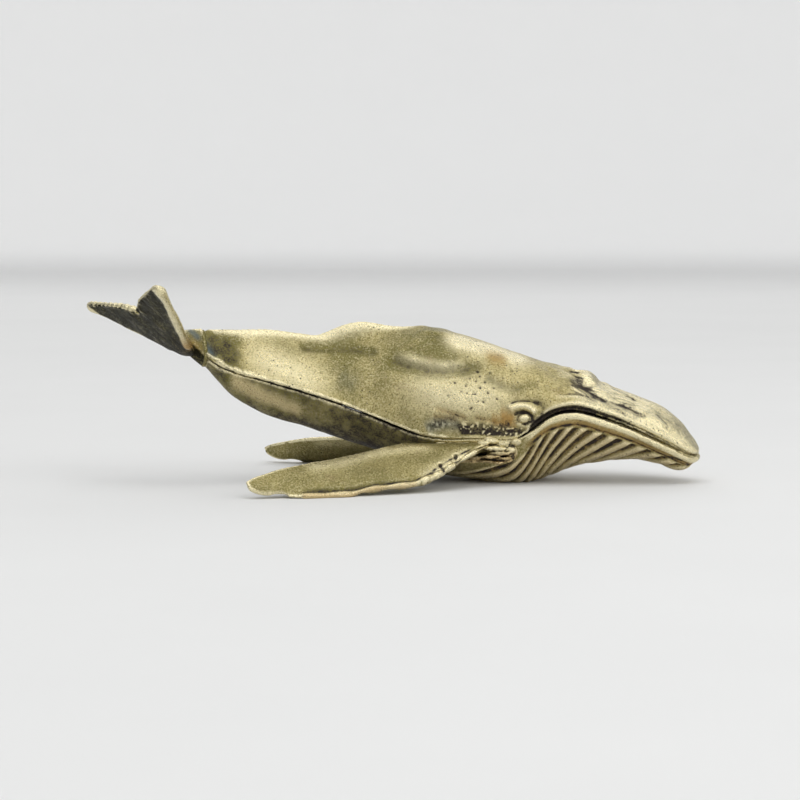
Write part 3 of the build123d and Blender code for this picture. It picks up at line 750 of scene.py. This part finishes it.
def carve_head(piece):
    """Blowhole, cheek and the streaks towards the snout, with painted highlights on the ridge and snout and
    painted shadow below the ridge.
    """
    piece.line(BLOWHOLE_PIXELS, width=0.35, height=-0.3, ends=0, patina=1.2)
    # painted highlight along the ridge, and painted shadow in the groove below it
    piece.line(RIDGE_PIXELS, width=0.9, shine=0.8, patina=-0.3)
    piece.line(RIDGE_GROOVE_PIXELS, width=0.75, patina=0.75)
    piece.line(MOUND_SHADE_PIXELS, width=0.8, height=-0.05, patina=0.7)
    piece.line(CHEEK_PIXELS, width=1.1, height=-0.22, patina=0.12)
    for pixels in SNOUT_LINES:
        piece.line(pixels, width=0.42, height=-0.05, patina=0.36)
    rim = piece.along(*LIP_RIM) * bell(piece.above - LIP_RIM_RISE, width=0.35)
    piece.add(rim, height=0.12, shine=0.35)
    # painted highlight on the tip of the snout
    piece.dot(SNOUT_HIGHLIGHT_PIXEL, radius=1.7, height=0.25, shine=1.6, tone=-1)
    field = np.column_stack([piece.shares, piece.across, piece.up]) * VEIN_SCALES + VEIN_SHIFT
    veins = np.array([noise.noise(Vector(place)) for place in field])
    marbled = piece.along(*MARBLED) * fade(*MARBLED_RISE, piece.above)
    piece.add(marbled * bell(veins - DARK_VEIN, DARK_VEIN), height=-0.03, patina=0.55)
    piece.add(marbled * fade(*PALE_VEINS, veins), height=0.03, shine=0.6)
    # painted highlight over the top of the snout
    piece.add(piece.along(*PAINTED_SNOUT_HIGHLIGHT) * (piece.above > 0), shine=0.8, tone=-0.9)


# Lower lip and throat pleats, placed by their distance below the seam
LIP = (MOUTH_CORNER + 0.01, 1.02, 0.03)
LIP_WIDTH = 2
LIP_CREST = (0.4, 1.05, 0.35)
LIP_GOLD = (1.45, LIP_WIDTH, 0.3)
PLEATED = (0.42, 0.955, 0.05)
PLEAT_PITCH = 2.1
PLEAT_SLANT = 1
PLEAT_TURN = 9
PLEAT_DEPTH = 0.3
PLEAT_GAP = 0.2
PLEAT_DROP = 0.3
PLEAT_FADE = (0, 0.6)
PLEAT_CREST = (-0.4, 0.8)
PLEAT_VALLEY = (-0.1, 0.8)


def carve_pleats(piece):
    """Lower lip, and the throat pleats that sweep back from it and turn along the belly."""
    lip = piece.along(*LIP)
    # raised crest of the lip, with a painted highlight
    piece.add(lip * band(piece.chord, *LIP_CREST), height=0.24, shine=1.5, patina=-0.6, tone=-0.8)
    piece.add(lip * band(piece.chord, *LIP_GOLD), height=0.08, warm=0.5, patina=0.12)
    piece.add(lip * bell(piece.chord - LIP_WIDTH, width=0.22), height=-0.16, patina=0.6, warm=0.4)
    place = piece.shares * BODY_LENGTH
    corner = BODY_LENGTH * MOUTH_CORNER
    behind = np.clip(corner - place, 0, None)
    slid = np.where(place > corner, place, corner - PLEAT_TURN * (1 - np.exp(-behind / PLEAT_TURN)))
    phase = (slid + PLEAT_SLANT * (piece.chord - LIP_WIDTH)) / PLEAT_PITCH
    wave = np.sin(2 * pi * phase)
    first = LIP_WIDTH + PLEAT_GAP + PLEAT_DROP * behind
    pleated = fade(*PLEAT_FADE, piece.chord - first) * piece.along(*PLEATED)
    crests = pleated * fade(*PLEAT_CREST, wave)
    piece.add(crests, height=PLEAT_DEPTH, shine=1.2, warm=0.34, tone=-0.9)
    valleys = pleated * fade(*PLEAT_VALLEY, -wave)
    piece.add(valleys, height=-PLEAT_DEPTH, patina=0.3, warm=0.5)


# Belly and chin
BELLY_HIGHLIGHT_PIXELS = [(228, 377), (245, 386), (265, 395), (285, 404), (305, 413)]
CHIN_PIXELS = [(661, 460), (668, 458), (677, 459), (686, 463), (688, 466), (681, 468)]
TUBERCLE_PIXELS = [(639, 436), (650, 441), (662, 446), (675, 450), (682, 452)]
SHADED_BELLY = (-0.1, 0.5, 0.06)
MORE_SHADED_BELLY = (0.34, 0.6, 0.06)
FULL_BELLY = (0.12, 0.16, 0.09)
FULL_BELLY_DROP = (-0.5, -3)
SHADED_UNDERSIDE = (-0.1, 0.45, 0.08)
SHADED_UNDERSIDE_DROP = (-2.5, -5.5)


def carve_belly(piece):
    """Painted shade on the belly behind the pleats, its painted highlight streak, chin pad and tubercles."""
    # painted shade: the belly darker, and darker still further forward
    piece.add(piece.along(*SHADED_BELLY), patina=0.45, tone=0.6)
    piece.add(piece.along(*MORE_SHADED_BELLY), patina=0.2)
    # painted highlight along the belly
    piece.line(BELLY_HIGHLIGHT_PIXELS, width=1, height=0.1, shine=0.5, patina=-0.35, warm=0.3, tone=-0.4)
    piece.add(piece.along(*FULL_BELLY) * fade(*FULL_BELLY_DROP, piece.above), height=0.5)
    # painted shade on the underside
    underside = piece.along(*SHADED_UNDERSIDE) * fade(*SHADED_UNDERSIDE_DROP, piece.above)
    piece.add(underside, patina=0.45, shine=-0.5)
    piece.line(CHIN_PIXELS, width=0.26, height=-0.14, patina=0.5)
    for pixel in TUBERCLE_PIXELS:
        piece.dot(pixel, radius=0.35, height=0.22, shine=0.8, patina=-0.4)


def roughen_body(piece, swell):
    """Waves, ripples and grain of a hand-finished casting."""
    for size, height, seed in ((7, swell, 3), (2.4, 0.07, 11), (0.9, 0.03, 41)):
        piece.roughen(size, height, seed, where=piece.skin)


# Creases of the CAD's loft that are melted on the back, and its rough band behind the eye
CROWN = (0.29, 0.54, 0.03)
CROWN_RISE = (1.5, 3.5)
CROWN_ACROSS = (0.15, 0.7)
HEAD_TOP = (0.7, 0.9, 0.03)
HEAD_TOP_HALF_WIDTH = 4.5
HEAD_TOP_RISE = 1.5
MID_TOP = (0.45, 0.55, 0.02)
MID_TOP_ACROSS = (1.6, 1)
REAR_TOP = (0.05, 0.27, 0.02)
ROUGH_BAND_PIXELS = [(456, 430), (470, 430), (485, 431), (500, 432), (516, 434), (530, 434)]
SPECKLED_PIXELS = [(424, 430), (436, 425), (448, 424), (462, 426)]
CORNER_PIXELS = [(526, 436), (533, 432), (538, 424), (546, 417)]
ROUGH = (0.48, 0.7, 0.02)
ROUGH_RISE = 2.5


def melt_creases(back):
    """Softens the crown, the top of the head, the middle of the back and its rear ridge."""

    def melt(zone, weight, rounds):
        back.soften(band(back.shares, *zone) * weight * back.skin, rounds)
        back.locate()

    melt(CROWN, fade(*CROWN_RISE, back.up) * fade(*CROWN_ACROSS, np.abs(back.across)), rounds=50)
    melt(HEAD_TOP, (np.abs(back.across) < HEAD_TOP_HALF_WIDTH) * (back.above > HEAD_TOP_RISE), rounds=30)
    melt(MID_TOP, (back.up > 0) * fade(*MID_TOP_ACROSS, np.abs(back.across)), rounds=25)
    melt(REAR_TOP, (back.up > 0) * bell(back.across, width=0.9), rounds=8)


def carve_rough_band(back):
    """Pitted band from the speckled patch to the corner of the mouth."""
    back.line(ROUGH_BAND_PIXELS, width=0.95, height=-0.12, patina=1.3)
    back.line(SPECKLED_PIXELS, width=0.9, height=-0.04, patina=0.55, tint=0.45)
    back.line(CORNER_PIXELS, width=0.8, height=-0.08, patina=0.9)
    dark = np.clip(back.marks["patina"], 0, 1) * (back.above < ROUGH_RISE)
    back.speckle(size=0.36, seed=51, where=dark * back.along(*ROUGH))


def casting(name, node):
    """Fine mesh of a casting, with fewer faces on its inside."""
    piece = Body(name, node, voxel=0.17)
    piece.locate()
    piece.thin_out(piece.skin == 0, share=0.62)
    piece.locate()
    return piece


back = casting("back_skin", "back_casting")
melt_creases(back)
raise_mound(back)
carve_seam(back)
carve_flank(back)
carve_head(back)
carve_rough_band(back)
carve_eye(back)
roughen_body(back, swell=0.18)
back.finish(body_brass, "body_brass")

belly = casting("belly_skin", "belly_casting")
carve_seam(belly)
carve_pleats(belly)
carve_belly(belly)
roughen_body(belly, swell=0.14)
belly.finish(body_brass, "body_brass")

# Fins, and the lumps of brazing metal around their roots
SEAM_VOXEL = 0.1
KNOB_PIXELS = [[(479, 451), (470, 456), (461, 461)], [(455, 463), (451, 466), (447, 469)],
               [(444, 470), (440, 473), (435, 476)], [(431, 479), (427, 481), (422, 484)]]
NOTCH_PIXELS = [[(456, 453), (458, 467)], [(440, 463), (445, 474)], [(424, 477), (429, 485)]]
KNOB_LINE_PIXELS = [(476, 447), (458, 455), (441, 465), (425, 477), (414, 483)]
FIN_ROOT_PIXELS = [(474, 454), (455, 463), (440, 472), (424, 481)]
FIN_RIM_PIXELS = [(420, 485), (403, 487.5), (382, 488), (363, 492), (354, 495.5), (330, 496.5), (300, 496.5)]
FIN_GROOVE_PIXELS = [(415, 481), (400, 482.5), (382, 483), (366, 486), (350, 490), (330, 490.5), (300, 490)]
FIN_HIGHLIGHT_PIXELS = [(440, 447), (410, 448), (381, 452), (365, 456), (345, 462), (300, 468)]

# Lumps: pixel, long and short radius
LUMPS = [((483, 443.5), 0.9, 0.5), ((491, 441), 1.1, 0.6), ((500, 439.5), 1.3, 0.8), ((509, 440), 1.1, 0.65),
         ((516, 442), 0.8, 0.5), ((495, 448.5), 1.7, 0.34), ((500, 453), 1.5, 0.3), ((491, 456.5), 1.3, 0.3),
         ((503, 458), 1.2, 0.28), ((487, 461), 1.1, 0.26), ((497, 462.5), 1.2, 0.26), ((511, 450), 0.7, 0.4)]
LUMP_DEPTH = 0.6
LUMPS_SHADE = (0.3, -1)

# The fin's lower edge in the photograph, and how many pixels lower the CAD has it
FIN_TRIM_ACROSS = [350, 362, 420, 430, 440, 450, 460, 470, 490]
FIN_TRIM_PIXELS = [0, 2.5, 2.5, 4, 5, 7, 8.5, 10, 12]
FIN_EDGE_ACROSS = [307, 354, 363, 382, 403, 422, 433.5, 447, 457, 464, 476, 490]
FIN_EDGE_DOWN = [498, 497.6, 494, 490, 489.5, 486, 480.7, 473.4, 467.5, 461, 453, 446]
FIN_TRIM_REACH = 16
FIN_STEP_ACROSS = (276, 300, 6)
FIN_STEP_DOWN = 484
FIN_TRIM_GUIDE = [(400, 485), (400, 460)]

fin_surface = surface_of("belly_casting", "right_pectoral_fin", "right_fin_braze")


def fin_side(points):
    """Points with the left fin folded onto the right one, which the camera sees."""
    return points * np.array([1, 0, 1]) - np.abs(points) * np.array([0, 1, 0])


def trim_fin(fin, sign):
    """Draws the leading edge near the root in to where the photograph shows it."""
    across, down = in_picture(fin_side(fin.places))
    over = np.interp(across, FIN_TRIM_ACROSS, FIN_TRIM_PIXELS)
    below = np.minimum(down - np.interp(across, FIN_EDGE_ACROSS, FIN_EDGE_DOWN), over)
    share = np.clip((below + FIN_TRIM_REACH) / (over + FIN_TRIM_REACH), 0, 1)
    edge, inside = seen_points(fin_surface, FIN_TRIM_GUIDE)
    inward = (inside - edge) / (FIN_TRIM_GUIDE[0][1] - FIN_TRIM_GUIDE[1][1]) * np.array([1, sign, 1])
    fin.places += (over * share ** 2)[:, None] * inward
    fin.apply()
    step = band(across, *FIN_STEP_ACROSS) * (down > FIN_STEP_DOWN)
    fin.soften(step, rounds=25)


def make_fin(side, sign):
    """Fin with a thin worn rim, knobs and notches on its leading edge, and a raised crest along its back with
    a painted highlight.
    """
    fin = Sculpt(f"{side}_fin_skin", f"{side}_pectoral_fin", voxel=0.15)
    trim_fin(fin, sign)
    folded = fin_side(fin.places)

    def line(pixels, width, height=0, **marks):
        fin.stroke(folded, seen_path(fin_surface, pixels), width, height, **marks)

    line(FIN_RIM_PIXELS, width=0.55, height=0.1, ends=0.04, shine=0.5, warm=0.6, tone=-0.4)
    line(FIN_GROOVE_PIXELS, width=0.35, height=-0.1, tone=0.8, patina=0.3)
    line(KNOB_LINE_PIXELS, width=0.25, height=-0.12, patina=0.5)
    line(FIN_ROOT_PIXELS, width=1.3, shine=0.7, tone=-0.9)
    for pixels in KNOB_PIXELS:
        line(pixels, width=0.6, height=0.26, ends=0.2, shine=1, tone=-0.8)
    for pixels in NOTCH_PIXELS:
        line(pixels, width=0.22, height=-0.25, ends=0.1, patina=1.2)
    # raised crest with a painted highlight along it
    line(FIN_HIGHLIGHT_PIXELS, width=1, height=0.14, tone=-1, shine=0.5)
    fin.roughen(size=6, height=0.16, seed=5)
    fin.roughen(size=1.8, height=0.06, seed=17)
    fin.finish(fin_brass, "fin_brass", hollow_dark=0.7, edge_shine=1.3)


def make_fin_seam(side, sign):
    """Uneven braze around a fin's root, with its lumps."""
    lumps = []
    for pixel, long_radius, short_radius in LUMPS:
        for spot in seen_points(fin_surface, [pixel]):
            lumps.append(((spot[0], sign * spot[1], spot[2]), (long_radius, LUMP_DEPTH, short_radius)))
    seam = Sculpt(f"{side}_fin_seam", f"{side}_fin_braze", voxel=SEAM_VOXEL, lumps=lumps)
    seam.roughen(size=0.7, height=0.16, seed=23)
    seam.roughen(size=0.3, height=0.05, seed=31)
    seam.add(np.ones(len(seam.places)), patina=0.1, shine=0.5, tone=-0.3)
    rise = seam.places[:, 2] - seam.places[:, 2].mean()
    seam.add(fade(*LUMPS_SHADE, rise), patina=0.25, warm=0.6)
    seam.finish(braze_brass, "braze_metal", hollow_dark=1.1)


for side, sign in (("right", 1), ("left", -1)):
    make_fin(side, sign)
    make_fin_seam(side, sign)

# Flukes: the middle plane that their two lobes share, and the end of the tail stock
FLUKE_ROOT_SHARE = 0.034
FLUKE_ROOT_HEIGHT = 0.827 * BODY_HEIGHT
FLUKE_YAW = radians(10.7)
FLUKE_EDGE_PIXELS = [(163, 292), (168, 303), (174, 316), (181, 330), (189, 346)]
FLUKE_TIP_HIGHLIGHT_PIXEL = (158, 293)
FAR_EDGE_PIXELS = [(94, 305.3), (106, 305), (118, 306), (130, 308), (141, 311)]
FLUKE_SHADED_UNDERSIDE = (-0.1, 0.4)
SHADED_STOCK = (0.035, 0.2, 0.02)
STOCK_CREST = (0.015, 0.08, 0.01)
STOCK_CREST_RISE = (0.5, 2)
FLUKE_SEAM_SHRINK = 0.93
FLUKE_SEAM_FACES = (0.5, 0.9)

run = FLUKE_ROOT_SHARE * BODY_LENGTH + TAIL_X - NEUTRAL_X
turn = run / BEND_RADIUS
roll = TAIL_ROLL * run / (NEUTRAL_X - TAIL_X)
fluke_root = np.array([NEUTRAL_X + BEND_RADIUS * sin(turn), BEND_RADIUS * (cos(turn) - 1), FLUKE_ROOT_HEIGHT])
left = np.array([sin(turn) * cos(roll), cos(turn) * cos(roll), sin(roll)])
fluke_ahead = np.array([cos(turn), -sin(turn), 0])
fluke_left = left * cos(FLUKE_YAW) - fluke_ahead * sin(FLUKE_YAW)
fluke_surface = surface_of("tail_flukes")


def near_lobe(points):
    """Points with the far lobe folded onto the near one."""
    aside = (points - fluke_root) @ fluke_left
    return points - 2 * np.clip(aside, 0, None)[:, None] * fluke_left


def carve_lobes(flukes):
    """Leading edge worn and painted with a bright rim highlight, painted highlight on the tip, heat at the
    root and painted shade on the underside, alike on both lobes.
    """
    folded = near_lobe(flukes.places)
    edge_path = near_lobe(seen_path(fluke_surface, FLUKE_EDGE_PIXELS))
    # worn leading edge, painted with a bright rim highlight
    flukes.stroke(folded, edge_path, width=0.75, height=0.28, ends=0, shine=1.4, patina=-2.2)
    flukes.add(around(folded, edge_path[-1], radius=2.2), warm=0.9)
    # painted highlight on the tip
    tip = near_lobe(seen_points(fluke_surface, [FLUKE_TIP_HIGHLIGHT_PIXEL]))[0]
    flukes.add(around(folded, tip, radius=1.1), height=0.25, shine=1.5, patina=-1.8, tone=-1)
    # painted shade: the lobes darker where they face down
    flukes.add(fade(*FLUKE_SHADED_UNDERSIDE, -flukes.normals[:, 2]), patina=1.6, tone=1)


def carve_stock(flukes):
    """Painted shade on the end of the tail stock, with its bright crest and the blue of the brazing heat."""
    shares, across, up = body_coordinates(flukes.places)
    # painted shade: the end of the tail stock darker
    flukes.add(band(shares, *SHADED_STOCK), patina=0.35, tone=0.6, shine=-1)
    crest = band(shares, *STOCK_CREST) * bell(across, width=0.8)
    flukes.add(crest * fade(*STOCK_CREST_RISE, up), height=0.24, shine=1.4, patina=-1.4, tone=-0.8)
    blued_path = seen_path(fluke_surface, BLUED_PIXELS[:-1])
    flukes.stroke(flukes.places, blued_path, width=0.6, ends=0, tint=0.65)


def carve_beads(flukes):
    """Row of worn beads along the far lobe's trailing edge."""
    far_edge = seen_points(fluke_surface, FAR_EDGE_PIXELS)
    flukes.stroke(flukes.places, far_edge, width=0.4, height=-0.05, ends=0, patina=0.7)
    for bead in smooth_path(far_edge, steps=3):
        spot = around(flukes.places, bead, radius=0.38)
        flukes.add(spot, height=0.22, shine=1.6, patina=-1.8, tone=-1)


flukes = Sculpt("fluke_skin", "tail_flukes", voxel=0.14)
carve_lobes(flukes)
carve_stock(flukes)
carve_beads(flukes)
flukes.roughen(size=5, height=0.14, seed=7)
flukes.roughen(size=1.2, height=0.05, seed=19)
flukes.finish(fluke_brass, "fluke_brass", hollow_dark=0.6, edge_shine=1.3)

tail_seam = Sculpt("fluke_seam", "fluke_braze", voxel=SEAM_VOXEL)
middle = tail_seam.places.mean(axis=0)
tail_seam.places = middle + (tail_seam.places - middle) * FLUKE_SEAM_SHRINK
tail_seam.add(fade(*FLUKE_SEAM_FACES, np.abs(tail_seam.normals @ fluke_ahead)), height=0.12)
tail_seam.roughen(size=0.8, height=0.08, seed=29)
tail_seam.add(np.ones(len(tail_seam.places)), patina=0.2, tone=0.6)
tail_seam.finish(braze_brass, "braze_metal", edge_shine=0)

for name in ("tail_pin", "snout_pin"):
    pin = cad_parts[name]
    pin.data.materials.clear()
    pin.data.materials.append(pin_brass)

# Round floor whose rim curves up into a backdrop
FLOOR_RADIUS = 1300
RIM_RADIUS = 500
BACKDROP_TOP = 1500
RIM_STEPS = 16
ROUND_STEPS = 96
BACKDROP_LIFT = 0.38
LIFT_NEAR = 350
LIFT_FAR = 1400
PAPER_DARK = (0.74, 0.74, 0.73)
PAPER_PALE = (0.78, 0.78, 0.77)

profile = [(0, 0), (FLOOR_RADIUS, 0)]
for step in range(1, RIM_STEPS + 1):
    angle = pi / 2 * step / RIM_STEPS
    profile.append((FLOOR_RADIUS + RIM_RADIUS * sin(angle), RIM_RADIUS * (1 - cos(angle))))
profile.append((FLOOR_RADIUS + RIM_RADIUS, BACKDROP_TOP))
stage_points = []
stage_faces = []
for ring, (radius, height) in enumerate(profile):
    for step in range(ROUND_STEPS):
        angle = 2 * pi * step / ROUND_STEPS
        stage_points.append((radius * cos(angle) * MM, radius * sin(angle) * MM, height * MM))
        if ring:
            here = ring * ROUND_STEPS + step
            ahead = ring * ROUND_STEPS + (step + 1) % ROUND_STEPS
            stage_faces.append((here - ROUND_STEPS, ahead - ROUND_STEPS, ahead, here))
stage_mesh = bpy.data.meshes.new("backdrop")
stage_mesh.from_pydata(stage_points, [], stage_faces)
stage_mesh.polygons.foreach_set("use_smooth", [True] * len(stage_faces))
backdrop = add_object("backdrop", stage_mesh)

paper = Nodes("backdrop_paper")
paper_colour = paper.mix(paper.noise(per_mm=0.02), PAPER_DARK, PAPER_PALE)
paper.link(paper_colour, paper.shader.inputs["Base Color"])
paper.shader.inputs["Roughness"].default_value = 0.85
far = paper.new("VectorMath")
far.operation = "LENGTH"
paper.link(paper.place, far.inputs[0])
seen = paper.new("LightPath").outputs["Is Camera Ray"]
lift = paper.ramp(far.outputs["Value"], low=LIFT_NEAR * MM, high=LIFT_FAR * MM, to_high=BACKDROP_LIFT)
lift = paper.math("MULTIPLY", seen, lift)
paper.shader.inputs["Emission Color"].default_value = (1, 1, 1, 1)
paper.link(lift, paper.shader.inputs["Emission Strength"])
stage_mesh.materials.append(paper.material)

# Lamps, each aimed at the middle of the whale
LAMP_AIM = (-16, 0, 10)


def softbox(name, place, width, height, radiance):
    """Rectangular lamp, sizes and places in millimetres, brightness as a share of white."""
    lamp = bpy.data.lights.new(name, "AREA")
    lamp.shape = "RECTANGLE"
    lamp.size = width * MM
    lamp.size_y = height * MM
    lamp.energy = radiance * pi * lamp.size * lamp.size_y
    holder = add_object(name, lamp)
    holder.location = Vector(place) * MM
    holder.rotation_euler = (Vector(LAMP_AIM) - Vector(place)).to_track_quat("-Z", "Y").to_euler()


softbox("top_lamp", place=(-60, -140, 640), width=700, height=500, radiance=1.65)
softbox("front_lamp", place=(330, -420, 330), width=420, height=320, radiance=2.1)
softbox("side_lamp", place=(560, -110, 190), width=260, height=240, radiance=2.2)
softbox("back_lamp", place=(-40, 600, 400), width=900, height=360, radiance=1.1)

# Pale light from all round
world = bpy.data.worlds.new("studio")
bpy.context.scene.world = world
world.use_nodes = True
light = world.node_tree.nodes["Background"].inputs
light["Color"].default_value = (0.97, 0.98, 1, 1)
light["Strength"].default_value = 0.6

# The camera itself
camera = bpy.data.cameras.new("camera")
camera.sensor_width = SENSOR
camera.lens = SENSOR * CAMERA_DISTANCE * PIXELS_PER_MM / IMAGE_SIDE
camera.clip_start = 10 * MM
camera.clip_end = 20000 * MM
camera_object = add_object("camera", camera)
camera_object.location = Vector(camera_place) * MM
camera_object.rotation_euler = Vector(-camera_back).to_track_quat("-Z", "Y").to_euler()
bpy.context.scene.camera = camera_object
bpy.context.scene.view_settings.view_transform = "Standard"
